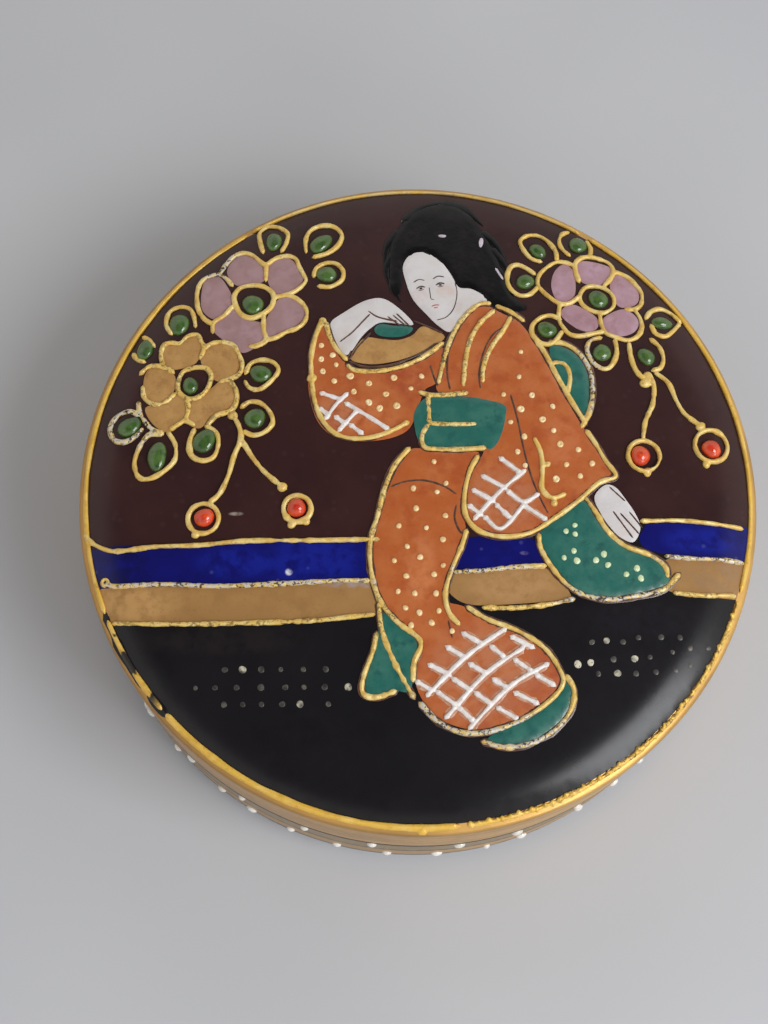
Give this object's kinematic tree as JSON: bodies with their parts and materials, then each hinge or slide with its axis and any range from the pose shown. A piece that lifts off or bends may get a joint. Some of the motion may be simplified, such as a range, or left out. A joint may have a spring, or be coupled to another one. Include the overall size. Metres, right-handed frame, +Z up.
{
  "type": "pill box",
  "caption": "Round straight-sided ceramic pill box with a lift-off lid, raised slip lines, enamel fields and glossy enamel drops on the lid, and dotted gilded sides.",
  "frame": {"origin": "on the table under the middle of the foot ring", "axes": "+Z up through the lid; -Y towards the viewer when the picture on the lid is upright; +X to its right"},
  "size_m": [0.0768, 0.0765, 0.0285],
  "materials": {
    "gilded_body": "satin gold wash outside, white glaze inside",
    "white_dots": "glossy raised slip",
    "rim_slip": "gilded raised slip, satin",
    "gold_slip": "pale gilded raised slip, satin",
    "brown_enamel": "semi-gloss",
    "black_enamel": "glossy",
    "blue_enamel": "glossy, bubbled",
    "gold_wash": "matt gold wash, speckled",
    "pink_enamel": "satin, translucent",
    "green_drops": "glossy drops",
    "red_drops": "glossy drops",
    "skin_enamel": "glossy white with brush lines",
    "hair_enamel": "glossy",
    "orange_enamel": "glossy, clouded",
    "yellow_dots": "glossy raised slip",
    "white_slip": "raised slip",
    "teal_enamel": "glossy, mottled",
    "pale_dots": "raised slip",
    "silver_dots": "faint raised slip"
  },
  "bodies": {
    "base": {"base_bowl": "gilded_body", "base_upper_dots": "white_dots", "base_lower_dots": "white_dots"},
    "lid": {"lid_cover": "gilded_body", "rim_trail": "rim_slip", "brown_ground": "brown_enamel", "black_ground": "black_enamel", "blue_bands": "blue_enamel", "gold_bands": "gold_wash", "band_trails": "gold_slip", "left_pink_petals": "pink_enamel", "left_gold_petals": "gold_wash", "right_pink_petals": "pink_enamel", "left_pink_blossom_trails": "gold_slip", "left_gold_blossom_trails": "gold_slip", "right_pink_blossom_trails": "gold_slip", "left_leaf_trails": "gold_slip", "right_leaf_trails": "gold_slip", "leaf_beads": "green_drops", "blossom_beads": "green_drops", "stem_trails": "gold_slip", "berry_beads": "red_drops", "face_and_hands": "skin_enamel", "hair": "hair_enamel", "fan_wash": "gold_wash", "hand_patch": "teal_enamel", "robe_enamel": "orange_enamel", "robe_trails": "gold_slip", "robe_dots": "yellow_dots", "lattice_strokes": "white_slip", "sash_enamel": "teal_enamel", "bow_enamel": "teal_enamel", "sleeve_lining": "teal_enamel", "hem_lining": "teal_enamel", "sash_and_bow_trails": "gold_slip", "lining_trails": "gold_slip", "sleeve_dots": "pale_dots", "ground_dots": "silver_dots"}
  },
  "joints": [
    {"name": "lid_lift", "type": "slide", "parent": "base", "child": "lid", "axis": [0, 0, 1], "range_m": [0, 0.06]}
  ]
}
